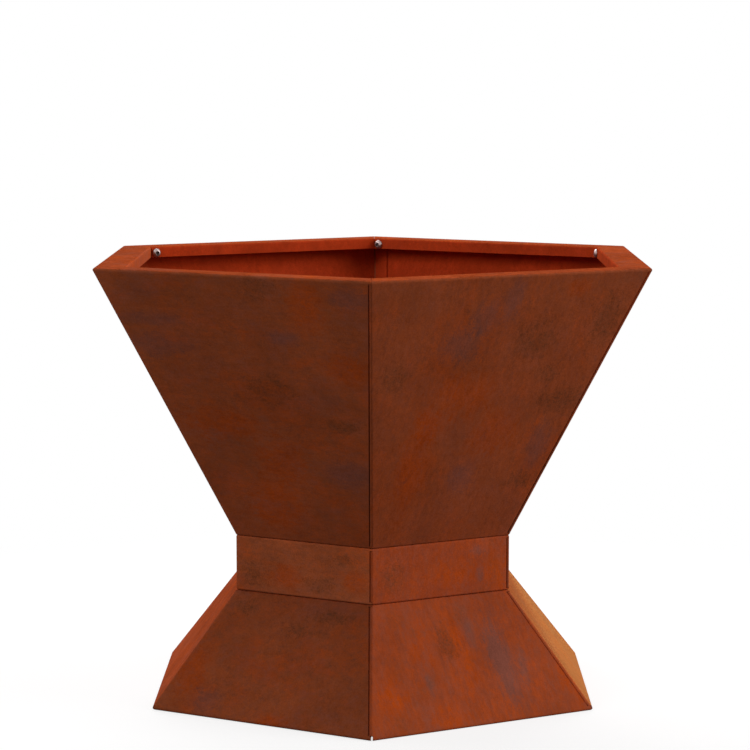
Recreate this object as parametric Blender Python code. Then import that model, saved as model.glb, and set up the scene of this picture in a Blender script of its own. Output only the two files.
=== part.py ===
"""Hexagonal fire brazier, folded from weathering steel sheet and bolted together.

Three tiers of six equal panels stand on each other: a base that widens to the floor, a straight neck,
and a bowl that widens to the rim. Each panel is one folded sheet. At its clockwise end, seen from
above, its wall wraps round the corner, steps inwards by one sheet and lies behind the next panel.
Its lip and its joint flanges overlap the next panel's in the same way, and the screws go through there.
The origin is on the floor below the middle of the brazier, with +Z up. Lengths are in metres.
"""
import math
from collections import namedtuple

import bmesh
import bpy
from mathutils import Matrix, Vector

# Overall form, over the sharp outer corners of the folds
rim_across_flats = 0.600
neck_across_flats = 0.303
base_across_flats = 0.488
bowl_height = 0.3035
neck_height = 0.062
base_height = 0.124

# Sheet, its folds and its clearances
sheet = 0.0015
bend_radius = 0.0005
fit_gap = 0.0003
mitre_gap = 0.00015
fold_steps = 3
wrap_steps = 3
dive_steps = 2

# Flanges and lips
rim_width = 0.036
rim_lip_height = 0.0125
foot_width = 0.030
foot_lip_height = 0.012
foot_slot_height = 0.0052
foot_slot_width = 0.002
joint_flange_width = 0.030

# Tabs that lie behind or over the next panel
wall_tab_length = 0.016
wall_tab_relief = 0.0009
lip_tab_length = 0.0145
lip_tab_relief = 0.001
joint_tab_width = 0.0155
joint_tab_inset = 0.003
joint_tab_length = 0.016
joint_tab_ramp = 0.002

# M6 fasteners
hexagon_sides = 6
screw_diameter = 0.006
screw_hole_play = 0.0006
head_diameter = 0.0105
head_height = 0.0033
head_top_share = 0.52
socket_across_flats = 0.004
socket_depth = 0.002
nut_across_flats = 0.010
nut_height = 0.0052
rim_screw_length = 0.012
joint_bolt_length = 0.016
rim_screw_from_corner = 0.0068
rim_screw_drop = 0.0074
round_steps = 12
dome_steps = 3

# Loose floor of the bowl
plate_thickness = 0.004
plate_wall_gap = 0.004
plate_head_gap = 0.0015
air_hole_diameter = 0.016
air_hole_pitch = 0.045
air_hole_rings = 2

# How far a cutter passes the faces that it cuts, and how near points are joined
cut_over = 0.001
weld_distance = 0.000001

# Colours, linear, with roughness and metallic value
rust_finishes = {
    "bowl": ((0.115, 0.022, 0.008), 0.82, 0.15),
    "neck": ((0.190, 0.035, 0.012), 0.80, 0.15),
    "base": ((0.220, 0.042, 0.014), 0.80, 0.15),
}
plate_finish = ((0.060, 0.022, 0.012), 0.88, 0.20)
screw_finish = ((0.620, 0.620, 0.600), 0.28, 1.00)
nut_finish = ((0.520, 0.520, 0.510), 0.38, 1.00)

# Panels of a tier and the corners where they begin, clockwise from the one left of the front corner
positions = ("front_left", "left", "back_left", "back_right", "right", "front_right")
corner_names = ("front", "front_left", "back_left", "back", "back_right", "front_right")
sides = len(positions)

half_angle = math.pi / sides
corner_turn = 2 * half_angle
half_tan = math.tan(half_angle)
half_cos = math.cos(half_angle)
half_sin = math.sin(half_angle)
turn_sin = math.sin(corner_turn)
turn_cos = math.cos(corner_turn)

neck_bottom = base_height
neck_top = base_height + neck_height
rim_top = neck_top + bowl_height
rim_reach = rim_across_flats / 2
neck_reach = neck_across_flats / 2
base_reach = base_across_flats / 2
rim_lip_reach = rim_reach - rim_width
foot_lip_reach = base_reach - foot_width
joint_inner_reach = neck_reach - joint_flange_width
fold_radius = bend_radius + sheet
hole_diameter = screw_diameter + screw_hole_play

# Height over a joint of the seat of its bolts: half the joint's gap, a flange and its neighbour's tab
joint_seat = fit_gap / 2 + 2 * sheet + 2 * fit_gap
# From a lip's visible face to the far side of the tab behind it, with the nut's clearance
lip_grip = 2 * sheet + 2 * fit_gap

sharp_angle = math.radians(35)

OUTER = 0
INNER = 1
Row = namedtuple("Row", "outer inner part tab")
Tier = namedtuple("Tier", "name rows wall_share wall_up")

# Turn of the first panel, which brings its outward direction between front and left
first_turn = -(math.pi + half_angle)

# Directions in a panel's own (along, outward) plane: at its clockwise corner and on the next panel
corner_across = Vector((half_cos, -half_sin))
corner_outward = Vector((half_sin, half_cos))
next_along = Vector((turn_cos, -turn_sin))


def turned_left(direction):
    """The direction a quarter turn to the left, towards the inner face of the sheet."""
    return Vector((-direction.y, direction.x))


def fold_pairs(corner, before, after):
    """Outer and inner points round one fold, from its first tangent line to its last."""
    turn = math.atan2(before.x * after.y - before.y * after.x, before.dot(after))
    centre = corner - before * fold_radius * math.tan(turn / 2) + turned_left(before) * fold_radius
    pairs = []
    for step in range(fold_steps + 1):
        spoke = Matrix.Rotation(turn * step / fold_steps, 2) @ -turned_left(before)
        pairs.append((centre + spoke * fold_radius, centre + spoke * bend_radius))
    return pairs


def profile(corners, parts, cuts):
    """Rows across a folded sheet, each an outer and an inner point in (outward, up).

    corners are the sharp outer corners from one free edge to the other. parts names the straight
    between each two. cuts says, for each straight, how far from its first corner a tab's rows lie.
    """
    directions = [(end - start).normalized() for start, end in zip(corners, corners[1:])]

    def straight_row(index, distance, tab):
        outer = corners[index] + directions[index] * distance
        return Row(outer, outer + turned_left(directions[index]) * sheet, parts[index], tab)

    rows = [straight_row(0, 0, False)]
    for index, direction in enumerate(directions):
        rows += [straight_row(index, distance, True) for distance in cuts[index]]
        if direction is not directions[-1]:
            pairs = fold_pairs(corners[index + 1], direction, directions[index + 1])
            name = "foot" if parts[index] == "foot" else "flange"
            rows += [Row(*pair, name, False) for pair in pairs]
    length = (corners[-1] - corners[-2]).length
    rows.append(straight_row(len(directions) - 1, length, False))
    return rows


def wall_share(lower, upper):
    """Length of a leaning wall as a share of its height, and so of a level cut through its sheet."""
    return (upper - lower).length / (upper.y - lower.y)


def wall_cuts(lower, upper):
    """Where a wall's tab begins and ends, along the wall, clear of the folds below and above it."""
    wall = upper - lower
    lean = math.atan2(wall.y, wall.x)
    below, above = (fold_radius * math.tan(turn / 2) + wall_tab_relief for turn in (lean, math.pi - lean))
    return [below, wall.length - above]


def tier_of(name, rows, lower, upper):
    """A tier, with more rows just below and above its wall's tab, where two walls meet without one."""
    up = (upper - lower).normalized()
    first, last = (index for index, row in enumerate(rows) if row.part == "wall")

    def beside(row, distance, part):
        return Row(row.outer + up * distance, row.inner + up * distance, part, False)

    part = rows[first - 1].part
    below = [beside(rows[first], -2 * fit_gap, part), beside(rows[first], -fit_gap, part + " ledge")]
    above = [beside(rows[last], fit_gap, "flange ledge"), beside(rows[last], 2 * fit_gap, "flange")]
    rows = rows[:first] + below + rows[first:last + 1] + above + rows[last + 1:]
    return Tier(name, rows, wall_share(lower, upper), up)


def joint_cuts_from_edge():
    """Where a joint flange's tab begins and ends, from the flange's free edge."""
    return [joint_tab_inset, joint_tab_inset + joint_tab_width]


def joint_cuts_from_fold():
    """The same, from the flange's sharp corner."""
    return [joint_flange_width - distance for distance in reversed(joint_cuts_from_edge())]


def base_tier():
    """Foot lip, foot flange, leaning wall with open slots at its foot, and top flange."""
    lower = Vector((base_reach, 0))
    upper = Vector((neck_reach, neck_bottom - fit_gap / 2))
    corners = [
        Vector((foot_lip_reach, foot_lip_height)),
        Vector((foot_lip_reach, 0)),
        lower,
        upper,
        Vector((joint_inner_reach, upper.y)),
    ]
    slot_top = foot_slot_height * wall_share(lower, upper)
    cuts = [[], [], [slot_top, wall_cuts(lower, upper)[-1]], joint_cuts_from_fold()]
    rows = profile(corners, ["foot", "foot", "wall", "joint"], cuts)
    return tier_of("base", rows, lower, upper)


def neck_tier():
    """Bottom flange, upright wall and top flange."""
    lower = Vector((neck_reach, neck_bottom + fit_gap / 2))
    upper = Vector((neck_reach, neck_top - fit_gap / 2))
    corners = [
        Vector((joint_inner_reach, lower.y)),
        lower,
        upper,
        Vector((joint_inner_reach, upper.y)),
    ]
    cuts = [joint_cuts_from_edge(), wall_cuts(lower, upper), joint_cuts_from_fold()]
    rows = profile(corners, ["joint", "wall", "joint"], cuts)
    return tier_of("neck", rows, lower, upper)


def bowl_tier():
    """Bottom flange, leaning wall, rim flange and lip."""
    lower = Vector((neck_reach, neck_top + fit_gap / 2))
    upper = Vector((rim_reach, rim_top))
    corners = [
        Vector((joint_inner_reach, lower.y)),
        lower,
        upper,
        Vector((rim_lip_reach, rim_top)),
        Vector((rim_lip_reach, rim_top - rim_lip_height)),
    ]
    cuts = [joint_cuts_from_edge(), wall_cuts(lower, upper), [], [fold_radius + lip_tab_relief]]
    rows = profile(corners, ["joint", "wall", "flange", "lip"], cuts)
    return tier_of("bowl", rows, lower, upper)


def spoke(angle):
    """Unit direction in (along, outward), turned clockwise from straight outward."""
    return Vector((math.sin(angle), math.cos(angle)))


def wall_path(tier):
    """Level path of a wall round its clockwise corner, as pairs of outer and inner offsets.

    The offsets are (along, outward) from the sharp corner. The first list wraps the corner.
    The second steps inwards by one sheet and its clearance, and runs on behind the next panel.
    """
    level_sheet = sheet * tier.wall_share
    outer_radius = bend_radius + level_sheet
    both_radii = outer_radius + bend_radius
    step = level_sheet + fit_gap * tier.wall_share
    dive = math.acos(1 - step / both_radii)
    centre = Vector((-outer_radius * half_tan, -outer_radius))
    far_centre = centre + both_radii * spoke(corner_turn + dive)

    def round_corner(angle):
        return centre + outer_radius * spoke(angle), centre + bend_radius * spoke(angle)

    def back_level(angle):
        return far_centre - bend_radius * spoke(angle), far_centre - outer_radius * spoke(angle)

    wrap = [round_corner(corner_turn * count / wrap_steps) for count in range(wrap_steps + 1)]
    dives = [dive * count / dive_steps for count in range(1, dive_steps + 1)]
    behind = [round_corner(corner_turn + angle) for angle in dives]
    behind += [back_level(corner_turn + dive - angle) for angle in dives]
    outer, inner = behind[-1]
    behind.append((outer + next_along * wall_tab_length, inner + next_along * wall_tab_length))
    return wrap, behind


def tab_slide(tier, offsets):
    """How far, in (outward, up), the level step moves along the next wall to lie square behind it."""
    inward = -offsets[OUTER].dot(spoke(corner_turn))
    return tier.wall_up * tier.wall_up.x * inward


def wall_start(tier):
    """From the sharp corner to the edge of the next wall, clear of the step behind it."""
    offsets = wall_path(tier)[1][-2]
    return offsets[OUTER].dot(next_along) + tab_slide(tier, offsets).x * half_tan


def wall_corner(tier, row, side):
    """Reach of the wall's outer face at the height of a row's outer or inner point."""
    if side == OUTER:
        return row.outer.x
    return row.inner.x + sheet * tier.wall_share


def mitre(reach, gap):
    """How far along a panel its mitred end lies, at a distance gap from the corner's middle plane."""
    return reach * half_tan - gap / half_cos


def corner_gap(row):
    """From a corner's middle plane to the mitred end on either side of it."""
    return foot_slot_width / 2 if row.part.startswith("foot") else mitre_gap


def start_place(tier, row, side):
    """A point on the panel's first end, where the panel before it overlaps."""
    point = row[side]
    if row.part == "wall" or row.part.endswith("ledge"):
        along = wall_corner(tier, row, side) * half_tan - wall_start(tier)
    elif row.part == "lip":
        along = row.outer.x * half_tan - (sheet * turn_cos + fit_gap) / turn_sin
    elif row.part == "joint":
        along = mitre(point.x, joint_tab_ramp - mitre_gap + fit_gap)
    else:
        along = mitre(point.x, corner_gap(row))
    return Vector((-along, point.x, point.y))


def end_place(tier, row, side):
    """A point on the panel's clockwise end, before its tabs."""
    point = row[side]
    if row.part == "wall":
        along = wall_corner(tier, row, side) * half_tan + wall_path(tier)[0][0][OUTER].x
    elif row.part == "lip":
        along = row.outer.x * half_tan + (sheet + fit_gap) / turn_sin - bend_radius * half_tan
    else:
        along = mitre(point.x, corner_gap(row))
    return Vector((along, point.x, point.y))


def wall_place(tier, row, side, offsets):
    """A point on the wrapped end of a wall."""
    corner = wall_corner(tier, row, side)
    return Vector((corner * half_tan + offsets[side].x, corner + offsets[side].y, row[side].y))


def tab_place(tier, row, side, offsets):
    """A point where a wall steps inwards and runs on behind the next one."""
    slide = tab_slide(tier, offsets)
    outward = spoke(corner_turn) * slide.x
    return wall_place(tier, row, side, offsets) + Vector((outward.x, outward.y, slide.y))


def lip_place(tier, row, side, angle, distance):
    """A point on the tab of a lip, turned by angle and run on by distance behind the next lip."""
    start = end_place(tier, row, OUTER)
    radius = bend_radius if side == OUTER else fold_radius
    level = Vector((start.x, row.outer.x - bend_radius)) + radius * spoke(angle) + next_along * distance
    return Vector((level.x, level.y, row[side].y))


def joint_place(tier, row, side, distance):
    """A point on the tab of a joint flange, one sheet and its clearance over the next flange."""
    start = end_place(tier, row, side)
    rise = (row.inner.y - row.outer.y) * (1 + fit_gap / sheet)
    return start + Vector((corner_across.x * distance, corner_across.y * distance, rise))


def extruded(bm, faces, place):
    """Extrude faces, put every new point where place(row number, side) says, and return the new faces."""
    number = bm.verts.layers.int["row"]
    side = bm.verts.layers.int["side"]
    new = bmesh.ops.extrude_face_region(bm, geom=faces)["geom"]
    for vert in new:
        if isinstance(vert, bmesh.types.BMVert):
            vert.co = place(vert[number], vert[side])
    return [face for face in new if isinstance(face, bmesh.types.BMFace)]


def extrude_on(bm, faces, place):
    """The same for end faces of a closed body, which move on to the new end."""
    ends = extruded(bm, faces, place)
    bmesh.ops.delete(bm, geom=faces, context="FACES")
    return ends


def caps(bm, faces, rows, wanted):
    """The end faces that lie between two rows which are both wanted."""
    number = bm.verts.layers.int["row"]
    return [face for face in faces if all(wanted(rows[vert[number]]) for vert in face.verts)]


def panel_mesh(tier):
    """One folded panel with its tabs, in its own frame: along x, outward y, up z."""
    rows = tier.rows
    bm = bmesh.new()
    number = bm.verts.layers.int.new("row")
    side = bm.verts.layers.int.new("side")
    pairs = []
    for index, row in enumerate(rows):
        pair = [bm.verts.new(start_place(tier, row, which)) for which in (OUTER, INNER)]
        for which, vert in enumerate(pair):
            vert[number] = index
            vert[side] = which
        pairs.append(pair)
    section = [bm.faces.new((a[0], b[0], b[1], a[1])) for a, b in zip(pairs, pairs[1:])]
    ends = extruded(bm, section, lambda index, which: end_place(tier, rows[index], which))

    wrap, behind = wall_path(tier)
    wall = caps(bm, ends, rows, lambda row: row.part == "wall")
    lip = caps(bm, ends, rows, lambda row: row.part == "lip")
    joints = [caps(bm, [face], rows, lambda row: row.part == "joint" and row.tab) for face in ends]

    for offsets in wrap[1:]:
        wall = extrude_on(bm, wall, lambda index, which: wall_place(tier, rows[index], which, offsets))
    for offsets in behind:
        wall = extrude_on(bm, wall, lambda index, which: tab_place(tier, rows[index], which, offsets))

    if lip:
        for count in range(1, wrap_steps + 1):
            angle = corner_turn * count / wrap_steps
            lip = extrude_on(bm, lip, lambda index, which: lip_place(tier, rows[index], which, angle, 0))
        extrude_on(bm, lip, lambda index, which: lip_place(tier, rows[index], which, angle, lip_tab_length))

    for joint in filter(None, joints):
        for along in (joint_tab_ramp, joint_tab_ramp + joint_tab_length):
            joint = extrude_on(bm, joint, lambda index, which: joint_place(tier, rows[index], which, along))

    bmesh.ops.recalc_face_normals(bm, faces=bm.faces)
    return finished_mesh(bm, tier.name + "_panel")


def finished_mesh(bm, name):
    """Turn a bmesh into mesh data and free it."""
    mesh = bpy.data.meshes.new(name)
    bm.to_mesh(mesh)
    bm.free()
    return mesh


def smoothed(mesh):
    """The same mesh, shaded smooth but for its sharp edges."""
    mesh.shade_smooth()
    mesh.set_sharp_from_angle(angle=sharp_angle)
    return mesh


def across_corners(across_flats, count):
    """Width over the corners of a polygon."""
    return across_flats / math.cos(math.pi / count)


def cylinder(bm, matrix, diameter, top, bottom, steps=round_steps):
    """A closed round or polygonal bar along the matrix's z axis, from bottom to top."""
    placed = matrix @ Matrix.Translation((0, 0, (top + bottom) / 2))
    bmesh.ops.create_cone(
        bm, cap_ends=True, segments=steps, radius1=diameter / 2, radius2=diameter / 2,
        depth=top - bottom, matrix=placed,
    )


def cut(mesh, cutters):
    """The mesh less the bars in the cutters' bmesh, as new mesh data under the same name."""
    body = bpy.data.objects.new("body", mesh)
    tool = bpy.data.objects.new("cutters", finished_mesh(cutters, "cutters"))
    tool.hide_render = True
    tool.display_type = "WIRE"
    for item in (body, tool):
        bpy.context.scene.collection.objects.link(item)
    boolean = body.modifiers.new("holes", "BOOLEAN")
    boolean.operation = "DIFFERENCE"
    boolean.solver = "EXACT"
    boolean.object = tool
    evaluated = body.evaluated_get(bpy.context.evaluated_depsgraph_get())
    result = bpy.data.meshes.new_from_object(evaluated)
    name = mesh.name
    for item in (body, tool):
        data = item.data
        bpy.data.objects.remove(item)
        bpy.data.meshes.remove(data)
    result.name = name
    return result


def rim_frame():
    """Place of a rim screw in its panel's frame: z towards the middle, y along the panel."""
    along = rim_screw_from_corner - rim_lip_reach * half_tan
    return Matrix((
        (0, 1, 0, along),
        (0, 0, -1, rim_lip_reach),
        (-1, 0, 0, rim_top - rim_screw_drop),
        (0, 0, 0, 1),
    ))


def joint_bolt_point():
    """Place of a joint bolt in its panel's (along, outward) plane, near the panel's first end."""
    reach = joint_inner_reach + joint_tab_inset + joint_tab_width / 2
    inset = joint_tab_ramp + joint_tab_length / 2 - mitre_gap
    point = corner_outward * (reach / half_cos) + corner_across * inset
    return Vector((point.x, point.y))


def joint_frame(height):
    """Place of a joint bolt in its panel's frame, at the given height."""
    point = joint_bolt_point()
    point.rotate(Matrix.Rotation(corner_turn, 2))
    return Matrix.Translation((point.x, point.y, height))


def before(matrix):
    """The same place, seen from the panel before, whose tab lies there."""
    return Matrix.Rotation(-corner_turn, 4, "Z") @ matrix


def joint_holes(heights):
    """Cutters for the joint bolts' holes, in a panel's flanges and in the tabs over the next panel's."""
    bm = bmesh.new()
    reach = joint_seat + cut_over
    for height in heights:
        for frame in (joint_frame(height), before(joint_frame(height))):
            cylinder(bm, frame, hole_diameter, reach, -reach)
    return bm


def bowl_holes():
    """The same for a bowl panel, with the rim screws' holes in its lip and in the lip's tab."""
    bm = joint_holes([neck_top])
    for frame in (rim_frame(), before(rim_frame())):
        cylinder(bm, frame, hole_diameter, cut_over, -lip_grip - cut_over)
    return bm


def screw_mesh(length, name):
    """Button-head screw with a hexagon socket, its seat at z = 0 and its shank below."""
    head_radius = head_diameter / 2
    top_angle = math.acos(head_top_share)
    outline = [(0, -length), (screw_diameter / 2, -length), (screw_diameter / 2, 0)]
    for count in range(dome_steps + 1):
        angle = top_angle * count / dome_steps
        outline.append((head_radius * math.cos(angle), head_height * math.sin(angle) / math.sin(top_angle)))
    outline.append((0, head_height))
    bm = bmesh.new()
    verts = [bm.verts.new((radius, 0, height)) for radius, height in outline]
    edges = [bm.edges.new(pair) for pair in zip(verts, verts[1:])]
    bmesh.ops.spin(
        bm, geom=verts + edges, axis=(0, 0, 1), cent=(0, 0, 0), angle=2 * math.pi,
        steps=round_steps, use_duplicate=False,
    )
    bmesh.ops.remove_doubles(bm, verts=bm.verts, dist=weld_distance)
    bmesh.ops.recalc_face_normals(bm, faces=bm.faces)
    socket = bmesh.new()
    socket_width = across_corners(socket_across_flats, hexagon_sides)
    socket_bottom = head_height - socket_depth
    cylinder(socket, Matrix.Identity(4), socket_width, head_height + cut_over, socket_bottom, hexagon_sides)
    return smoothed(cut(finished_mesh(bm, name), socket))


def nut_mesh(name):
    """Hexagon nut with its bore, its seat at z = 0 and its body below."""
    bm = bmesh.new()
    width = across_corners(nut_across_flats, hexagon_sides)
    cylinder(bm, Matrix.Identity(4), width, 0, -nut_height, hexagon_sides)
    bore = bmesh.new()
    cylinder(bore, Matrix.Identity(4), hole_diameter, cut_over, -nut_height - cut_over)
    return smoothed(cut(finished_mesh(bm, name), bore))


def plate_mesh():
    """Loose hexagonal floor with air holes, and holes that drop over the joint's bolt heads."""
    plate_reach = neck_reach - sheet - plate_wall_gap
    bm = bmesh.new()
    cylinder(bm, Matrix.Identity(4), across_corners(2 * plate_reach, sides), plate_thickness, 0, sides)
    holes = bmesh.new()
    ring = range(-air_hole_rings, air_hole_rings + 1)
    for row in ring:
        for column in ring:
            if abs(row + column) <= air_hole_rings:
                across = air_hole_pitch * row * turn_sin
                along = air_hole_pitch * (column + row * turn_cos)
                place = Matrix.Translation((across, along, 0))
                cylinder(holes, place, air_hole_diameter, plate_thickness + cut_over, -cut_over)
    head_hole = head_diameter + 2 * plate_head_gap
    for turn in panel_turns():
        cylinder(holes, turn @ joint_frame(0), head_hole, plate_thickness + cut_over, -cut_over)
    return cut(finished_mesh(bm, "fire_plate"), holes)


def panel_turns():
    """Turn of each panel of a tier about the brazier's axis."""
    return [Matrix.Rotation(first_turn - index * corner_turn, 4, "Z") for index in range(sides)]


def add_piece(name, mesh, finish, parent, matrix):
    """Add a named object with its own material."""
    colour, roughness, metallic = finish
    material = bpy.data.materials.new(name)
    material.use_nodes = True
    shader = material.node_tree.nodes["Principled BSDF"]
    shader.inputs["Base Color"].default_value = (*colour, 1)
    shader.inputs["Roughness"].default_value = roughness
    shader.inputs["Metallic"].default_value = metallic
    piece = bpy.data.objects.new(name, mesh)
    if not mesh.materials:
        mesh.materials.append(None)
    piece.material_slots[0].link = "OBJECT"
    piece.material_slots[0].material = material
    bpy.context.scene.collection.objects.link(piece)
    piece.parent = parent
    piece.matrix_world = matrix
    return piece


def add_tier(tier, holes, parent):
    """Six equal panels round the axis."""
    mesh = cut(panel_mesh(tier), holes)
    for position, turn in zip(positions, panel_turns()):
        add_piece(f"{tier.name}_panel_{position}", mesh, rust_finishes[tier.name], parent, turn)


def add_fasteners(name, mesh, finish, frame, parent):
    """A fastener at each corner, all from one mesh."""
    for corner, turn in zip(corner_names, panel_turns()):
        add_piece(f"{name}_{corner}", mesh, finish, parent, turn @ frame)


def main():
    for item in list(bpy.data.objects):
        bpy.data.objects.remove(item)
    brazier = bpy.data.objects.new("brazier", None)
    bpy.context.scene.collection.objects.link(brazier)

    add_tier(base_tier(), joint_holes([neck_bottom]), brazier)
    add_tier(neck_tier(), joint_holes([neck_bottom, neck_top]), brazier)
    add_tier(bowl_tier(), bowl_holes(), brazier)

    nut = nut_mesh("nut")
    bolt = screw_mesh(joint_bolt_length, "joint_bolt")
    for joint, height in (("bowl_joint", neck_top), ("base_joint", neck_bottom)):
        add_fasteners(joint + "_bolt", bolt, screw_finish, joint_frame(height + joint_seat), brazier)
        add_fasteners(joint + "_nut", nut, nut_finish, joint_frame(height - joint_seat), brazier)
    seat = rim_frame() @ Matrix.Translation((0, 0, fit_gap))
    behind = rim_frame() @ Matrix.Translation((0, 0, -lip_grip))
    add_fasteners("rim_screw", screw_mesh(rim_screw_length, "rim_screw"), screw_finish, seat, brazier)
    add_fasteners("rim_nut", nut, nut_finish, behind, brazier)

    floor = Matrix.Translation((0, 0, neck_top + joint_seat))
    add_piece("fire_plate", plate_mesh(), plate_finish, brazier, floor)


main()
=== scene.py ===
"""Looks of the hexagonal fire brazier: rusted sheet steel, bright screws and a pale studio.

Panels are seen here in their own directions: along the panel, outward from the brazier's axis, and up.
Lengths are in metres and colours are linear.
"""
import math
import random
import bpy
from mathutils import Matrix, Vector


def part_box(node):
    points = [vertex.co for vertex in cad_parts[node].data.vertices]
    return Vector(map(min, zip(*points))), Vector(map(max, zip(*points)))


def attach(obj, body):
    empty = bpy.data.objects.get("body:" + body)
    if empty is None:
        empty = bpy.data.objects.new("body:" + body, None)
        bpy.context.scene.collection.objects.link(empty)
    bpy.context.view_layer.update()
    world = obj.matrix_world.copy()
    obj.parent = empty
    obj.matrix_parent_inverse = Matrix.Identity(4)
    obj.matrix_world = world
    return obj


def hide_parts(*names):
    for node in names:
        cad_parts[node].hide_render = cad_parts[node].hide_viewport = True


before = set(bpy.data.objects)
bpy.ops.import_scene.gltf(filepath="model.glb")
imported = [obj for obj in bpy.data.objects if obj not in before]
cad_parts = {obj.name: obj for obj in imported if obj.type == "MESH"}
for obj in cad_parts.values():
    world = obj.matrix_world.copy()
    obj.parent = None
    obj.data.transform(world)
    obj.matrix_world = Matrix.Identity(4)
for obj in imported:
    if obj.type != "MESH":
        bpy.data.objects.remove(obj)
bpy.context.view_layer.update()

from types import SimpleNamespace

import bpy
from mathutils import Matrix, Vector

# Heights that the finishes follow
floor_level = 0.0
neck_top = 0.186
lip_bottom = 0.477

# How far each tier's walls lean outwards, in degrees from upright
wall_leans = {"bowl": 26.1, "neck": 0.0, "base": -36.7}

# Panels of a tier, clockwise from the one left of the front corner, and the corners where they begin
positions = ("front_left", "left", "back_left", "back_right", "right", "front_right")
corners = ("front", "front_left", "back_left", "back", "back_right", "front_right")
corner_turn = math.tau / len(positions)
panel_turns = [-math.pi - corner_turn / 2 - count * corner_turn for count in range(len(positions))]

# M6 screws, bolts and nuts
shank_radius = 0.003
shank_tip = 0.0008
tip_taper = 0.6
thread_root = 0.00252
thread_pitch = 0.001
head_radius = 0.00525
head_height = 0.0033
head_edge = 0.0003
head_crown = head_radius * 0.52
edge_break = 0.0002
socket_across_flats = 0.004
socket_depth = 0.002
socket_cone = 0.0005
socket_point = 0.15
socket_flare = 1.14
nut_across_flats = 0.010
nut_face_radius = nut_across_flats * 0.475
nut_height = 0.0052
nut_bore_radius = 0.00315
nut_sink = 0.0006
rim_screw_length = 0.012
joint_bolt_length = 0.016

# How round pieces are made: sides of a circle, steps of a thread's turn, and how far a cut reaches past a
# face; in degrees, the dome's arc and its steps, the nut's chamfer, and the sharpest edge shaded smooth
round_count = 48
thread_steps = 24
past_face = 0.0001
dome_arc = 60
dome_step = 10
nut_chamfer = 30
smooth_below = 32

# Shades of the oxide, of what the fire leaves and of its painted light, each as a whole colour
rust_body = (0.332, 0.0560, 0.0165)
rust_film = (0.345, 0.0900, 0.0320)
rust_orange = (0.450, 0.0650, 0.0075)
mill_scale = (0.245, 0.0740, 0.0480)
rust_dark = (0.126, 0.0450, 0.0200)
# The fire's red: partly heat tint, and partly painted firelight on the faces that look into the bowl
heat_tint_and_firelight = (0.500, 0.0470, 0.0100)
soot = (0.018, 0.0105, 0.0075)
ash = (0.190, 0.150, 0.120)
heat_scale = (0.075, 0.0260, 0.0150)
bloom_tint = (1.0, 0.620, 0.160)

# Steel of the screws, bolts and nuts, and plain white
# The screws' steel grey is tinted pink as a painted reflection of the red rust around them
screw_steel_and_reflection = (0.37, 0.29, 0.28)
bolt_tint = (0.34, 0.29, 0.25)
nut_tint = (0.50, 0.49, 0.46)
white = (1.0, 1.0, 1.0, 1.0)

# Noises of a rusted sheet: the space that each fills, the width of its patches, its detail, its roughness and
# its distortion. The even space keeps its proportions, and the others are drawn out along the streaks.
oxide_noises = {
    "broad": ("even", 0.110, 5.0, 0.60, 0.6),
    "middling": ("drawn", 0.016, 5.0, 0.68, 0.3),
    "fine": ("drawn", 0.0055, 5.0, 0.72, 0.0),
    "grain": ("even", 0.0016, 3.0, 0.80, 0.0),
    "streaks": ("streaked", 0.0045, 4.0, 0.65, 0.0),
    "orange": ("drawn", 0.050, 6.0, 0.60, 0.4),
    "scale": ("drawn", 0.042, 6.0, 0.60, 0.3),
    "clouds": ("even", 0.036, 6.0, 0.62, 0.3),
    "specks": ("even", 0.0028, 3.0, 0.70, 0.0),
    "pepper": ("drawn", 0.0032, 4.0, 0.75, 0.0),
    "patches": ("drawn", 0.0085, 6.0, 0.68, 0.2),
    "pits": ("even", 0.0030, 5.0, 0.70, 0.0),
}
streak_stretch = 0.10

# The middle of a noise, how far a sheet's patterns may be moved along, and where the seeds begin
noise_middle = 0.5
pattern_reach = 9
sheet_seed = 100
fastener_seed = 6

# Where a patch begins and is full in its noise: first those with torn edges, then those with plain ones
torn_cuts = {"orange": (0.46, 0.70), "scale": (0.48, 0.72), "clouds": (0.50, 0.72)}
plain_cuts = {"specks": (0.48, 0.62), "pepper": (0.49, 0.64), "patches": (0.44, 0.58)}

# How strongly each noise tears the patches' edges, changes the brightness, and raises the surface
tearing = {"middling": 0.45, "fine": 0.45, "grain": 0.30}
mottling = {"broad": 0.30, "middling": 0.20, "fine": 0.34, "grain": 0.42}
relief = {"pits": 0.7, "grain": 0.3, "streaks": 0.25}
relief_depth = 0.00035
relief_strength = 0.55

# Strongest shares of the patches, and how much the specks break up the dark ones
orange_share = 0.42
pepper_share = 0.24
cloud_share = 0.34
stain_share = 0.54
speckling = 0.6

# Level faces: the upward part of a direction where they begin and are full, and what they add
level_faces = (0.6, 0.9)
level_orange = 0.16
level_contrast = 0.8
level_gain = 0.06

# Roughness of the rust: its middle, its change with the grain, and what orange patches take and soot adds
rust_roughness = 0.82
grain_roughness = 0.25
orange_smoothing = 0.05
soot_roughness = 0.12
bloom_roughness = 0.35

# Marks of the fire in the bowl: where a face counts as turned inwards, the heights between which each mark
# fades, the noise and swing that make those heights uneven, and the strongest share of each mark
turned_inwards = (-0.35, -0.20)
ash_heights = (neck_top, neck_top + 0.05)
soot_heights = (neck_top + 0.05, lip_bottom - 0.02)
lip_edge = (lip_bottom - 0.004, lip_bottom - 0.001)
fire_line_noise = (0.030, 5.0, 0.65)
fire_line_swing = 0.10
ash_share = 0.35
soot_share = 0.80
soot_haze = 0.02
# How clouds darken and orange patches brighten the painted firelight and heat tint
clouded_red = 0.22
orange_red = 0.10

# Stains: how strongly their edges tear, where those fade in half widths, and a depth that passes any sheet
stain_tearing = 4
stain_edge = (0.40, 1.35)
stain_depth = 1000

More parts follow.
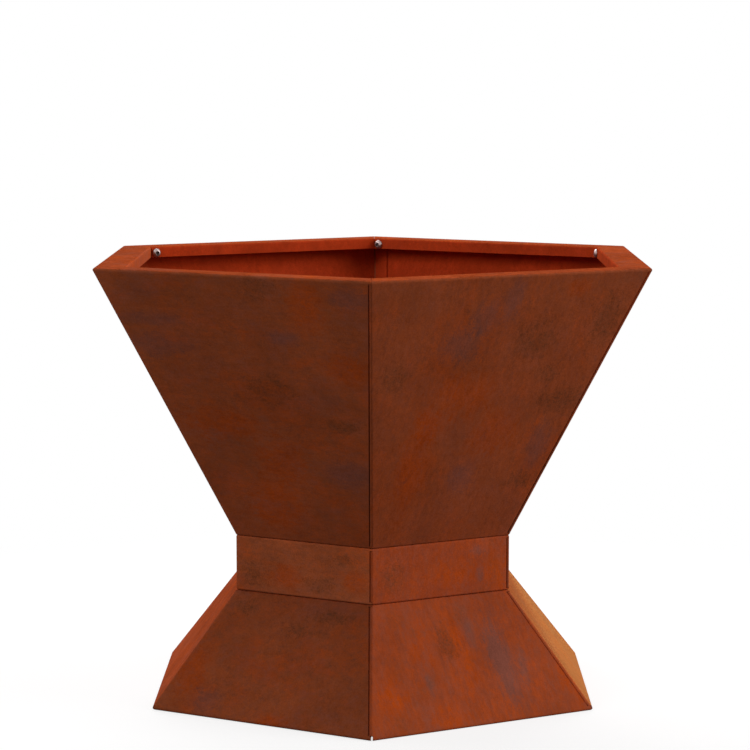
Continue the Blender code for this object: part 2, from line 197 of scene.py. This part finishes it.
# Stains left to chance: their kinds and half sizes, and where they may lie on a tier's panels, given as half
# their spread along, and their lowest and highest
chance_kinds = ("orange", "orange", "scale", "dark")
chance_half_widths = (0.016, 0.036)
chance_half_heights = (0.010, 0.026)
stain_rooms = {"bowl": (0.110, 0.225, 0.455), "neck": (0.065, 0.138, 0.172), "base": (0.105, 0.020, 0.105)}

# How a sheet weathers where panel_looks says nothing else: its brightness and contrast; shares of mottling,
# scale, film and sheen; whether its streaks run upright, how drawn its patches are, how strong its streaks
# are; how red the fire's side and the lip are, as heat tint and painted firelight, and how much brighter the
# lip is painted as firelight; and its stains
usual_look = dict(
    tone=1.0, contrast=1.7, mottled=0.12, scaly=0.36, film=0.5, bloom=0.0, upright=True, drawn=0.60,
    streaky=0.12, fire_side=0.0, fire_lip=0.6, lip_worn=0.0, stains=(), chance_stains=6,
)
bowl_fire_side = 0.6
panel_looks = {
    "bowl_panel_front_left": dict(seed=11, tone=0.99, contrast=1.8, film=0.65, upright=False),
    "bowl_panel_front_right": dict(seed=23, tone=0.99, contrast=2.1, mottled=0.07, scaly=0.16),
    "neck_panel_front_left": dict(seed=31, tone=1.19, contrast=2.2, film=0.82, upright=False),
    "neck_panel_front_right": dict(seed=47, tone=1.26, contrast=1.6, mottled=0.15, scaly=0.28, film=0.05),
    "base_panel_front_left": dict(
        seed=53, tone=0.87, contrast=2.0, film=0.72, upright=False, drawn=0.8, streaky=0.04,
    ),
    "base_panel_front_right": dict(
        seed=61, tone=1.06, contrast=1.6, mottled=0.18, scaly=0.30, film=0.2, drawn=0.45,
    ),
    "base_panel_right": dict(seed=73, chance_stains=0, tone=1.26, contrast=1.6, bloom=0.56),
    "base_panel_left": dict(seed=83, chance_stains=0, tone=1.1, film=0.1, contrast=2.6),
    "bowl_panel_left": dict(seed=101, fire_side=0.7, fire_lip=0.1, lip_worn=0.30),
    "bowl_panel_back_left": dict(seed=102, fire_side=0.9, fire_lip=0.9),
    "bowl_panel_back_right": dict(seed=103, fire_side=0.9, fire_lip=0.8, lip_worn=0.22),
}

# Stains on the panels that the photograph shows: kind, place along, height, half width, half height, and for
# some a lean in degrees. They were marked by eye on the photograph, and another script worked most of these
# numbers out from the marks. Some were changed or added one by one.
front_stains = {
    "bowl_panel_front_left": (
        ("orange", 0.059, 0.319, 0.050, 0.018), ("orange", -0.004, 0.278, 0.031, 0.026),
        ("orange", 0.021, 0.225, 0.034, 0.025), ("orange", -0.117, 0.390, 0.029, 0.016),
        ("orange", -0.087, 0.461, 0.022, 0.033), ("scale", 0.116, 0.407, 0.045, 0.013),
        ("scale", 0.116, 0.436, 0.042, 0.008), ("scale", -0.144, 0.469, 0.029, 0.011),
        ("scale", -0.049, 0.423, 0.022, 0.009), ("scale", -0.084, 0.271, 0.030, 0.015),
        ("dark", -0.011, 0.364, 0.031, 0.013), ("dark", -0.031, 0.476, 0.022, 0.013),
        ("dark", -0.094, 0.327, 0.025, 0.008),
    ),
    "bowl_panel_front_right": (
        ("orange", 0.023, 0.358, 0.036, 0.026), ("orange", -0.026, 0.312, 0.030, 0.028),
        ("orange", 0.065, 0.282, 0.018, 0.066), ("orange", 0.055, 0.324, 0.020, 0.019),
        ("orange", -0.084, 0.473, 0.017, 0.010), ("scale", 0.022, 0.444, 0.016, 0.022),
        ("scale", 0.044, 0.415, 0.025, 0.020), ("scale", -0.006, 0.462, 0.011, 0.024),
        ("scale", -0.001, 0.262, 0.016, 0.019), ("scale", -0.089, 0.292, 0.015, 0.027),
        ("dark", -0.105, 0.345, 0.035, 0.016), ("dark", -0.077, 0.378, 0.018, 0.011),
        ("dark", -0.081, 0.253, 0.021, 0.011), ("dark", 0.116, 0.382, 0.016, 0.017),
        ("dark", -0.131, 0.436, 0.020, 0.028), ("dark", -0.047, 0.415, 0.026, 0.021),
    ),
    "neck_panel_front_left": (
        ("dark", -0.021, 0.139, 0.023, 0.011), ("dark", 0.066, 0.146, 0.013, 0.010),
        ("orange", -0.066, 0.148, 0.016, 0.012), ("orange", 0.021, 0.145, 0.023, 0.013),
        ("dark", -0.054, 0.170, 0.014, 0.007),
    ),
    "neck_panel_front_right": (
        ("dark", 0.062, 0.152, 0.014, 0.018), ("scale", -0.050, 0.146, 0.005, 0.009),
        ("scale", -0.045, 0.173, 0.012, 0.006), ("orange", -0.070, 0.146, 0.020, 0.020),
        ("orange", -0.014, 0.150, 0.028, 0.016),
    ),
    "base_panel_front_left": (
        ("dark", -0.042, 0.108, 0.024, 0.006), ("dark", -0.010, 0.092, 0.020, 0.006),
        ("dark", 0.067, 0.109, 0.016, 0.008), ("orange", 0.106, 0.042, 0.020, 0.028),
        ("scale", 0.077, 0.017, 0.020, 0.011), ("orange", -0.017, 0.005, 0.024, 0.006),
    ),
    "base_panel_front_right": (
        ("scale", -0.045, 0.062, 0.011, 0.035, 5), ("scale", -0.072, 0.052, 0.006, 0.021, -6),
        ("scale", -0.050, 0.055, 0.020, 0.042), ("scale", -0.020, 0.088, 0.007, 0.018),
        ("scale", 0.050, 0.045, 0.005, 0.012), ("orange", 0.038, 0.013, 0.024, 0.012),
        ("orange", 0.102, 0.037, 0.024, 0.016), ("orange", -0.002, 0.070, 0.015, 0.031),
        ("orange", -0.123, 0.034, 0.013, 0.026, 16), ("dark", 0.012, 0.082, 0.011, 0.020),
        ("orange", 0.046, 0.082, 0.014, 0.024),
    ),
}

# The camera, fitted to corners of the brazier in the photograph. Its turn is in radians, and its lens and
# sensor are in millimetres.
camera_place = (0.014438, -3.097914, 0.716729)
camera_turn = (1.454409, 0.0, 0.003938)
camera_lens = 131.8836
camera_sensor = 36.0
camera_reach = 100.0

# The floor: its width, the distances from the brazier's axis between which it opens to the light and then
# turns to plain white, its dull and pale shades, and its glow near the brazier
floor_width = 7
shaded_floor = (0.228, 0.243)
whitening_floor = (0.42, 1.00)
dull_floor = (0.20, 0.20, 0.20, 1)
pale_floor = (0.30, 0.30, 0.30, 1)
floor_glow = 0.73

# The studio's light: its surroundings, and square lamps by place, width and power, which look at lamp_aim
surrounding_light = 0.15
lamp_aim = (0, 0, 0.3)
lamps = {
    "key_right": ((2.8, -0.2, 1.2), 2.0, 72.0),
    "back_left": ((-1.8, 1.6, 2.0), 1.6, 30.0),
    "front_left": ((-1.9, -1.6, 1.9), 1.6, 27.0),
    "back": ((0, 2.6, 2.0), 2.0, 72.0),
}


class Value:
    """A number from a node. Sums with it add the Math nodes that work them out."""

    def __init__(self, nodes, socket):
        self.nodes = nodes
        self.socket = socket

    def __add__(self, other):
        return self.nodes.maths("ADD", self, other)

    def __sub__(self, other):
        return self.nodes.maths("SUBTRACT", self, other)

    def __rsub__(self, other):
        return self.nodes.maths("SUBTRACT", other, self)

    def __mul__(self, other):
        return self.nodes.maths("MULTIPLY", self, other)

    __radd__ = __add__
    __rmul__ = __mul__

    def swing(self, reach):
        """A noise as a change up and down about nothing."""
        return (self - noise_middle) * reach


class Nodes:
    """The nodes of a material or of the studio's surroundings, and the ways to add to them."""

    def __init__(self, tree):
        self.tree = tree

    def feed(self, socket, value):
        """Give a socket a value, or link another node's output to it."""
        if isinstance(value, Value):
            self.tree.links.new(value.socket, socket)
        else:
            socket.default_value = value

    def node(self, kind, settings, inputs, output=0):
        """Add a node, set it up, fill its sockets, and return one of its outputs."""
        node = self.tree.nodes.new("ShaderNode" + kind)
        for name, setting in settings.items():
            setattr(node, name, setting)
        for name, value in inputs.items():
            self.feed(node.inputs[name], value)
        return Value(self, node.outputs[output])

    def maths(self, operation, first, second):
        """Work out one number from two."""
        return self.node("Math", {"operation": operation}, {0: first, 1: second})

    def ramp(self, value, low, high):
        """0 below low and 1 above high, with a soft step between."""
        limits = {"Value": value, "From Min": low, "From Max": high}
        return self.node("MapRange", {"interpolation_type": "SMOOTHSTEP"}, limits)

    def length(self, vector):
        """How long a vector is."""
        return self.node("VectorMath", {"operation": "LENGTH"}, {0: vector}, "Value")

    def share_of(self, vector, axis):
        """The part of a vector that lies along one axis."""
        return self.node("SeparateXYZ", {}, {"Vector": vector}, axis)

    def seen_directly(self):
        """1 where a camera, a glossy or a clear ray looks straight at a surface, and 0 for soft light."""
        seen = self.node("LightPath", {}, {}, "Is Camera Ray")
        for name in ("Is Glossy Ray", "Is Transmission Ray"):
            seen = self.maths("MAXIMUM", seen, self.node("LightPath", {}, {}, name))
        return seen


class Finish(Nodes):
    """A material and the nodes that make its pattern."""

    def __init__(self, name):
        self.material = bpy.data.materials.new(name)
        self.material.use_nodes = True
        super().__init__(self.material.node_tree)
        self.shader = self.tree.nodes["Principled BSDF"]

    def blend(self, share, first, second):
        """One colour turned into another by a share from 0 to 1."""
        return self.node("Mix", {"data_type": "RGBA"}, {0: share, 6: first, 7: second}, 2)

    def shade(self, colour, brightness):
        """A colour made brighter or darker."""
        return self.node("VectorMath", {"operation": "SCALE"}, {0: colour, "Scale": brightness})

    def place(self, turn=0.0):
        """The piece's own coordinates, turned about the brazier's axis."""
        point = self.node("TexCoord", {}, {}, "Object")
        return self.node("Mapping", {}, {"Vector": point, "Rotation": (0, 0, -turn)})

    def noise(self, point, size, detail, roughness, distortion=0.0):
        """Cloudy noise whose patches are about size wide."""
        inputs = {
            "Vector": point, "Scale": 1 / size, "Detail": detail, "Roughness": roughness,
            "Distortion": distortion,
        }
        return self.node("TexNoise", {}, inputs)

    def set(self, **values):
        """Fill the shader's own sockets, with _ for a space in their names."""
        for name, value in values.items():
            self.feed(self.shader.inputs[name.replace("_", " ")], value)

    def bump(self, height, distance, strength):
        """Raise and lower the surface by a pattern."""
        inputs = {"Height": height, "Distance": distance, "Strength": strength}
        self.set(Normal=self.node("Bump", {}, inputs))


def opaque(colour):
    """A colour with nothing seen through it."""
    return (*colour, 1.0)


def stains_by_chance(chance, tier, count):
    """Stains for a sheet that has none of its own."""
    spread, lowest, highest = stain_rooms[tier]
    stains = []
    for _ in range(count):
        place = (chance.uniform(-spread, spread), chance.uniform(lowest, highest))
        size = (chance.uniform(*chance_half_widths), chance.uniform(*chance_half_heights))
        stains.append((chance.choice(chance_kinds), *place, *size))
    return stains


class RustedSheet(Finish):
    """Weathering steel: mottled oxide in ragged patches, specks, streaks and stains, and soot by the fire."""

    def __init__(self, name, turn, look):
        super().__init__(name)
        self.look = look
        self.tier = name.split("_")[0]
        self.chance = random.Random(look.seed)
        shift = [self.chance.uniform(-pattern_reach, pattern_reach) for _ in range(3)]
        self.panel = self.place(turn)
        along_wall = (math.radians(wall_leans[self.tier]), 0, 0)
        wall = {"Vector": self.panel, "Rotation": along_wall, "Location": shift}
        self.point = self.node("Mapping", {}, wall)

        outward = self.node("TexCoord", {}, {}, "Normal")
        turned = {"Vector": outward, "Rotation": (0, 0, -turn)}
        self.facing = self.share_of(self.node("Mapping", {"vector_type": "NORMAL"}, turned), "Y")
        self.level = self.ramp(self.share_of(outward, "Z"), *level_faces)

        self.lay_oxide()
        self.brightness = self.mottle()
        grainy = self.oxide["grain"].swing(grain_roughness)
        self.roughness = rust_roughness + grainy - self.oxide["orange"] * orange_smoothing
        self.colour = self.rust()
        if look.fire_side:
            self.mark_by_fire()
        self.finish_surface()

    def drawn_out(self, share):
        """The wall's space, stretched along its streaks by a share smaller than 1."""
        stretch = (1.0, 1.0, share) if self.look.upright else (share, 1.0, 1.0)
        return self.node("Mapping", {}, {"Vector": self.point, "Scale": stretch})

    def lay_oxide(self):
        """Lay the noises, and cut the patches out of theirs."""
        spaces = {
            "even": self.point,
            "drawn": self.drawn_out(self.look.drawn),
            "streaked": self.drawn_out(streak_stretch),
        }
        self.oxide = {name: self.noise(spaces[space], *kind) for name, (space, *kind) in oxide_noises.items()}
        self.ragged = sum(self.oxide[name].swing(reach) for name, reach in tearing.items())
        for name, limits in torn_cuts.items():
            self.oxide[name] = self.ramp(self.oxide[name] + self.ragged, *limits)
        for name, limits in plain_cuts.items():
            self.oxide[name] = self.ramp(self.oxide[name], *limits)

    def mottle(self):
        """How bright the rust is from place to place, about 1."""
        look = self.look
        swings = sum(self.oxide[name].swing(reach) for name, reach in mottling.items())
        swings = swings + self.oxide["streaks"].swing(look.streaky)
        return swings * (self.level * level_contrast + 1) * look.contrast + 1 + self.level * level_gain

    def stain(self, along, height, half_width, half_height, lean=0):
        """1 inside an oval stain on the panel and 0 outside, with ragged edges. Lean turns it, in degrees."""
        oval = {
            "Vector": self.panel, "Location": (along, 0, height),
            "Scale": (half_width, stain_depth, half_height), "Rotation": (0, math.radians(lean), 0),
        }
        distance = self.length(self.node("Mapping", {"vector_type": "TEXTURE"}, oval))
        return 1 - self.ramp(distance + self.ragged * stain_tearing, *stain_edge)

    def shares(self):
        """How much of each other shade lies over the body of the rust."""
        look = self.look
        oxide = self.oxide
        shares = {
            "orange": oxide["orange"] * orange_share + (1 - oxide["patches"]) * look.mottled,
            "scale": oxide["scale"] * look.scaly + oxide["pepper"] * pepper_share
            + oxide["patches"] * look.mottled,
            "dark": oxide["clouds"] * cloud_share,
        }
        for kind, *oval in look.stains or stains_by_chance(self.chance, self.tier, look.chance_stains):
            shares[kind] = shares[kind] + self.stain(*oval) * stain_share
        return shares

    def rust(self):
        """The rust's colour, in shades laid over each other."""
        shares = self.shares()
        colour = self.blend((1 - self.level) * self.look.film, opaque(rust_body), opaque(rust_film))
        colour = self.blend(shares["orange"] + self.level * level_orange, colour, opaque(rust_orange))
        colour = self.blend(shares["scale"], colour, opaque(mill_scale))
        speckled = self.oxide["specks"] * speckling + (1 - speckling)
        colour = self.blend(shares["dark"] * speckled, colour, opaque(rust_dark))
        return self.shade(colour, self.brightness * self.look.tone)

    def mark_by_fire(self):
        """Redden the side that faces the fire and the lip, partly as heat tint and partly as painted
        firelight, brighten the lip with painted firelight, soot the bowl, and lay ash at its foot.
        """
        look = self.look
        height = self.share_of(self.panel, "Z")
        ragged_height = height + self.noise(self.point, *fire_line_noise).swing(fire_line_swing)
        inside = 1 - self.ramp(self.facing, *turned_inwards)
        below_lip = 1 - self.ramp(height, *lip_edge)

        # Painted firelight, partly heat tint: faces inside the bowl and the lip turn towards a bright red
        clouded = self.oxide["clouds"] * clouded_red
        reddened_and_firelit = self.shade(heat_tint_and_firelight, self.brightness - clouded + self.oxide["orange"] * orange_red)
        redness = inside * (below_lip * (look.fire_side - look.fire_lip) + look.fire_lip)
        self.colour = self.blend(redness, self.colour, reddened_and_firelit)
        # Painted firelight: the inside of the lip is made brighter
        if look.lip_worn:
            self.colour = self.shade(self.colour, inside * (1 - below_lip) * look.lip_worn + 1)

        depth = 1 - self.ramp(ragged_height, *soot_heights)
        sooted = inside * below_lip * (depth * soot_share + soot_haze)
        self.colour = self.blend(sooted, self.colour, opaque(soot))
        self.roughness = self.roughness + sooted * soot_roughness
        ashen = inside * (1 - self.ramp(ragged_height, *ash_heights)) * ash_share
        self.colour = self.blend(ashen, self.colour, opaque(ash))

    def finish_surface(self):
        """Hand the colour, roughness, sheen and relief to the shader."""
        self.set(Base_Color=self.colour, Roughness=self.roughness, Metallic=0.0, Specular_IOR_Level=0.0)
        self.set(Sheen_Weight=self.look.bloom, Sheen_Roughness=bloom_roughness, Sheen_Tint=opaque(bloom_tint))
        raised = sum(self.oxide[name] * share for name, share in relief.items())
        self.bump(raised, relief_depth, relief_strength)


def fire_plate_finish():
    """Plate that lies in the fire: flaked scale, soot, and ash that gathers in patches."""
    flaked = 0.75
    ashen = 0.45
    finish = Finish("fire_plate_scale")
    point = finish.place()
    flaking = finish.noise(point, size=0.020, detail=6.0, roughness=0.65, distortion=0.5)
    flakes = finish.ramp(flaking, low=0.46, high=0.58)
    drifts = finish.noise(point, size=0.050, detail=6.0, roughness=0.60, distortion=0.4)
    ashes = finish.ramp(drifts, low=0.52, high=0.72)
    grain = finish.noise(point, size=0.0012, detail=3.0, roughness=0.75)
    colour = finish.blend(flakes * flaked, opaque(heat_scale), opaque(soot))
    colour = finish.blend(ashes * ashen, colour, opaque(ash))
    colour = finish.shade(colour, grain.swing(0.5) + 1)
    roughness = 0.84 + grain.swing(0.2)
    finish.set(Base_Color=colour, Roughness=roughness, Metallic=0.0, Specular_IOR_Level=0.2)
    finish.bump(flakes * 0.6 + grain * 0.4, distance=0.0005, strength=0.6)
    return finish.material


def bright_steel(name, colour, roughness, rusting):
    """Plated or stainless steel with fine wear, a little rust that has crept on to it, and painted shade in
    its socket.
    """
    socket_shade_share = 0.8
    finish = Finish(name)
    point = finish.place()
    wear = finish.noise(point, size=0.0018, detail=4.0, roughness=0.65)
    creeping = finish.noise(point, size=0.0040, detail=5.0, roughness=0.65)
    rusted = finish.ramp(creeping, low=0.56, high=0.70) * rusting
    # Painted shade: the socket's faces are darkened to the colour of soot, as a recess is dark
    socket_shade = finish.node("Attribute", {"attribute_name": "socket"}, {}, "Fac") * socket_shade_share
    tone = finish.blend(rusted, opaque(colour), opaque(rust_body))
    tone = finish.blend(socket_shade, tone, opaque(soot))
    roughened = roughness + wear.swing(0.25) + rusted * 0.4 + socket_shade * 0.3
    finish.set(Base_Color=finish.shade(tone, wear.swing(0.3) + 1), Roughness=roughened, Metallic=1.0 - rusted)
    finish.bump(wear, distance=0.00008, strength=0.5)
    return finish.material


def start_piece():
    """Leave edit mode with nothing selected."""
    if bpy.context.object and bpy.context.object.mode != "OBJECT":
        bpy.ops.object.mode_set(mode="OBJECT")
    bpy.ops.object.select_all(action="DESELECT")


def turned_piece(name, outline, count):
    """A round or polygonal body: a filled circle at the first (radius, height), drawn up through the rest."""
    start_piece()
    radius, height = outline[0]
    bpy.ops.mesh.primitive_circle_add(
        vertices=count, radius=radius, fill_type="NGON", location=(0, 0, height),
    )
    piece = bpy.context.object
    piece.name = piece.data.name = name
    bpy.ops.object.transform_apply(location=True, rotation=False, scale=False)
    bpy.ops.object.mode_set(mode="EDIT")
    bpy.ops.mesh.select_mode(type="FACE")
    bpy.ops.mesh.select_all(action="SELECT")
    for next_radius, next_height in outline[1:]:
        rise = next_height - height
        bpy.ops.mesh.extrude_region_move(TRANSFORM_OT_translate={"value": (0, 0, rise)})
        widen = next_radius / radius
        bpy.ops.transform.resize(value=(widen, widen, 1), center_override=(0, 0, next_height))
        radius, height = next_radius, next_height
    bpy.ops.mesh.select_all(action="SELECT")
    bpy.ops.mesh.normals_make_consistent(inside=False)
    bpy.ops.object.mode_set(mode="OBJECT")
    return piece


def apply_boolean(piece, tool, operation):
    """Cut the piece by a tool, or keep what both share, and remove the tool."""
    modifier = piece.modifiers.new(operation.lower(), "BOOLEAN")
    modifier.operation = operation
    modifier.object = tool
    start_piece()
    bpy.context.view_layer.objects.active = piece
    piece.select_set(True)
    bpy.ops.object.modifier_apply(modifier=modifier.name)
    bpy.data.objects.remove(tool)


def thread(length, start):
    """The ridge of a thread, wound down a shank from start, with closed ends."""
    buried = thread_pitch * 0.1
    foot = thread_pitch * 0.86
    crest = 0.14
    depth = shank_radius - thread_root + buried
    middle_radius = shank_radius - depth / 2

    start_piece()
    bpy.ops.mesh.primitive_plane_add(size=1, location=(0, 0, 0))
    ridge = bpy.context.object
    bpy.ops.object.mode_set(mode="EDIT")
    bpy.ops.mesh.select_all(action="SELECT")
    bpy.ops.transform.rotate(value=math.pi / 2, orient_axis="X", center_override=(0, 0, 0))
    bpy.ops.transform.resize(value=(depth, 1, foot), center_override=(0, 0, 0))
    bpy.ops.transform.translate(value=(middle_radius, 0, start))
    bpy.ops.mesh.select_all(action="DESELECT")
    bpy.ops.object.mode_set(mode="OBJECT")
    for vert in ridge.data.vertices:
        vert.select = vert.co.x > middle_radius
    bpy.ops.object.mode_set(mode="EDIT")
    bpy.ops.transform.resize(value=(1, 1, crest), center_override=(0, 0, start))
    bpy.ops.object.mode_set(mode="OBJECT")

    screw = ridge.modifiers.new("winding", "SCREW")
    screw.axis = "Z"
    screw.steps = screw.render_steps = thread_steps
    screw.iterations = round(length / thread_pitch)
    screw.screw_offset = -thread_pitch
    screw.use_merge_vertices = False
    bpy.ops.object.modifier_apply(modifier=screw.name)
    bpy.ops.object.mode_set(mode="EDIT")
    bpy.ops.mesh.select_all(action="SELECT")
    bpy.ops.mesh.fill_holes(sides=4)
    bpy.ops.mesh.normals_make_consistent(inside=False)
    bpy.ops.object.mode_set(mode="OBJECT")
    return ridge


def screw_outline(length):
    """Radii and heights of a button-head screw, from its tip to the top of its dome."""
    outline = [
        (thread_root - shank_tip * tip_taper, -length), (thread_root, shank_tip - length), (thread_root, 0),
        (head_radius - edge_break, 0), (head_radius, head_edge),
    ]
    for angle in range(dome_step, dome_arc + 1, dome_step):
        rise = math.sin(math.radians(angle)) / math.sin(math.radians(dome_arc))
        reach = math.cos(math.radians(angle * 90 / dome_arc))
        radius = head_crown + (head_radius - head_crown) * reach
        outline.append((radius, head_edge + (head_height - head_edge) * rise))
    return outline


def mark_socket_shade(screw, corner_radius, floor):
    """Mark the faces of the socket, where painted shade darkens the steel."""
    shaded_faces = screw.data.attributes.new("socket", "FLOAT", "FACE")
    for face in screw.data.polygons:
        within = face.center.xy.length < corner_radius
        inside = within and floor - 2 * socket_cone < face.center.z < head_height - past_face
        shaded_faces.data[face.index].value = float(inside)


def button_head_screw(name, length):
    """Button-head screw: seat at height 0, dome above with a hexagon socket, threaded shank below."""
    screw = turned_piece(name, screw_outline(length), round_count)
    corner_radius = socket_across_flats / 2 / math.cos(math.pi / 6)
    floor = head_height - socket_depth
    socket = turned_piece("socket", [
        (corner_radius * socket_point, floor - socket_cone), (corner_radius, floor),
        (corner_radius, head_height - edge_break),
        (corner_radius * socket_flare, head_height + past_face),
    ], 6)
    apply_boolean(screw, socket, "DIFFERENCE")
    bpy.ops.object.shade_smooth_by_angle(angle=math.radians(smooth_below))
    ridge = thread(length - shank_tip * 2, -shank_tip)
    start_piece()
    ridge.select_set(True)
    screw.select_set(True)
    bpy.context.view_layer.objects.active = screw
    bpy.ops.object.join()
    mark_socket_shade(screw, corner_radius, floor)
    return screw


def hexagon_nut(name):
    """Hexagon nut with both faces chamfered and its bore countersunk: seat at height 0, body below."""
    corner_radius = nut_across_flats / 2 / math.cos(math.pi / 6)
    clear_radius = corner_radius + past_face
    nut = turned_piece(name, [(corner_radius, -nut_height), (corner_radius, 0)], 6)
    drop = (corner_radius - nut_face_radius) * math.tan(math.radians(nut_chamfer))
    shape = turned_piece("chamfer", [
        (nut_face_radius, -nut_height), (clear_radius, drop - nut_height), (clear_radius, -drop),
        (nut_face_radius, 0),
    ], round_count)
    apply_boolean(nut, shape, "INTERSECT")
    sink_radius = nut_bore_radius + nut_sink
    bore = turned_piece("bore", [
        (sink_radius, -nut_height - past_face), (nut_bore_radius, nut_sink - nut_height),
        (nut_bore_radius, -nut_sink), (sink_radius, past_face),
    ], round_count)
    apply_boolean(nut, bore, "DIFFERENCE")
    bpy.ops.object.shade_smooth_by_angle(angle=math.radians(smooth_below))
    return nut


def put(pattern, name, node, matrix, material):
    """Copy a pattern piece to its place, for the CAD node that it stands for."""
    piece = pattern.copy()
    piece.data = pattern.data.copy()
    piece.data.transform(matrix)
    piece.name = piece.data.name = name
    piece.data.materials.clear()
    piece.data.materials.append(material)
    bpy.context.scene.collection.objects.link(piece)
    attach(piece, "brazier")
    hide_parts(node)
    return piece


def middle(node):
    """The middle of a CAD node's box."""
    low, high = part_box(node)
    return (low + high) / 2


def fit_fasteners():
    """Finer screws, bolts and nuts in the places of the plain ones."""
    rim_screw = button_head_screw("rim_screw_pattern", rim_screw_length)
    joint_bolt = button_head_screw("joint_bolt_pattern", joint_bolt_length)
    nut = hexagon_nut("nut_pattern")
    shiny = bright_steel("screw_bright_steel", screw_steel_and_reflection, roughness=0.40, rusting=0.35)
    dulled = bright_steel("bolt_heated_steel", bolt_tint, roughness=0.42, rusting=0.65)
    plated = bright_steel("nut_plated_steel", nut_tint, roughness=0.36, rusting=0.40)
    along_inward = Matrix(((0, 1, 0, 0), (0, 0, -1, 0), (-1, 0, 0, 0), (0, 0, 0, 1)))
    chance = random.Random(fastener_seed)
    for corner, turn in zip(corners, panel_turns):
        spins = [Matrix.Rotation(chance.uniform(0, math.tau), 4, "Z") for _ in range(3)]
        for joint, spin in zip(("bowl_joint", "base_joint"), spins):
            bolt_node = f"{joint}_bolt_{corner}"
            nut_node = f"{joint}_nut_{corner}"
            centre = middle(bolt_node)
            seat = Matrix.Translation((centre.x, centre.y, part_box(bolt_node)[1].z - head_height))
            under = Matrix.Translation((centre.x, centre.y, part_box(nut_node)[1].z))
            piece = put(joint_bolt, f"{joint}_button_bolt_{corner}", bolt_node, seat @ spin, dulled)
            piece = put(nut, f"{joint}_hexagon_nut_{corner}", nut_node, under @ spin, plated)
        inward = Matrix.Rotation(turn, 4, "Z") @ along_inward
        axis = inward.to_3x3() @ Vector((0, 0, 1))
        for node_name, pattern, front, kind, slot, material in (
            (f"rim_screw_{corner}", rim_screw, head_height, "button_screw", "screw_steel", shiny),
            (f"rim_nut_{corner}", nut, 0.0, "hexagon_nut", "nut_steel", plated),
        ):
            name = f"rim_{kind}_{corner}"
            centre = middle(node_name)
            points = [vert.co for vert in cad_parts[node_name].data.vertices]
            furthest = max((point - centre).dot(axis) for point in points)
            seat = Matrix.Translation(centre + axis * (furthest - front)) @ inward
            put(pattern, name, node_name, seat @ spins[2], material)
    for pattern in (rim_screw, joint_bolt, nut):
        bpy.data.objects.remove(pattern)


def give_material(node, material):
    """Let one material cover a piece of the CAD."""
    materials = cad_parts[node].data.materials
    materials.clear()
    materials.append(material)


def finish_panels():
    """Give each sheet its own weathering, and the fire plate its scale."""
    for tier_number, tier in enumerate(("bowl", "neck", "base")):
        for number, (position, turn) in enumerate(zip(positions, panel_turns)):
            node = f"{tier}_panel_{position}"
            seed = sheet_seed + 10 * tier_number + number
            look = dict(usual_look, seed=seed, stains=front_stains.get(node, ()))
            if tier == "bowl":
                look.update(fire_side=bowl_fire_side)
            look.update(panel_looks.get(node, {}))
            give_material(node, RustedSheet(node + "_rust", turn, SimpleNamespace(**look)).material)
    give_material("fire_plate", fire_plate_finish())


def add_camera():
    """The camera that took the photograph, as far as it could be fitted."""
    camera = bpy.data.objects.new("camera", bpy.data.cameras.new("camera"))
    camera.data.lens = camera_lens
    camera.data.sensor_width = camera_sensor
    camera.data.clip_end = camera_reach
    camera.location = camera_place
    camera.rotation_euler = camera_turn
    bpy.context.scene.collection.objects.link(camera)
    bpy.context.scene.camera = camera


def add_surroundings():
    """White surroundings that give only a little light."""
    world = bpy.data.worlds.new("studio")
    bpy.context.scene.world = world
    world.use_nodes = True
    around = Nodes(world.node_tree)
    around.tree.nodes.remove(around.tree.nodes["Background"])
    lighting = around.node("Background", {}, {"Color": white, "Strength": surrounding_light})
    shown = around.node("Background", {}, {"Color": white, "Strength": 1.0})
    both = around.node("MixShader", {}, {0: around.seen_directly(), 1: lighting, 2: shown})
    around.feed(around.tree.nodes["World Output"].inputs["Surface"], both)


def floor_finish():
    """Paint that keeps the brazier's shadow, is dark under it, and turns to plain white further out."""
    paint = Finish("studio_floor_white")
    paint.tree.nodes.remove(paint.shader)
    distance = paint.length(paint.node("TexCoord", {}, {}, "Object"))
    open_floor = paint.ramp(distance, *shaded_floor)
    dull = paint.node("BsdfDiffuse", {}, {"Color": dull_floor})
    pale = paint.node("BsdfDiffuse", {}, {"Color": pale_floor})
    beside = paint.node("AddShader", {}, {0: pale, 1: paint.node("Emission", {}, {"Strength": floor_glow})})
    beyond = paint.node("Emission", {}, {"Strength": 1.0})
    shown = paint.node("MixShader", {}, {0: paint.ramp(distance, *whitening_floor), 1: beside, 2: beyond})
    both = paint.node("MixShader", {}, {0: paint.seen_directly() * open_floor, 1: dull, 2: shown})
    paint.feed(paint.tree.nodes["Material Output"].inputs["Surface"], both)
    return paint.material


def add_floor():
    """A square of floor that belongs to the studio."""
    start_piece()
    bpy.ops.mesh.primitive_plane_add(size=floor_width, location=(0, 0, floor_level))
    floor = bpy.context.object
    floor.name = "studio_floor"
    floor.data.materials.append(floor_finish())


def add_lamp(name, place, width, power):
    """A square lamp that looks at the middle of the brazier."""
    lamp = bpy.data.lights.new(name, "AREA")
    lamp.shape = "SQUARE"
    lamp.size = width
    lamp.energy = power
    holder = bpy.data.objects.new(name, lamp)
    holder.location = place
    holder.rotation_euler = (Vector(lamp_aim) - Vector(place)).to_track_quat("-Z", "Y").to_euler()
    bpy.context.scene.collection.objects.link(holder)


bpy.context.scene.view_settings.view_transform = "Standard"
finish_panels()
fit_fasteners()
add_camera()
add_surroundings()
add_floor()
for lamp_name, (lamp_place, lamp_width, lamp_power) in lamps.items():
    add_lamp(lamp_name, lamp_place, lamp_width, lamp_power)
start_piece()
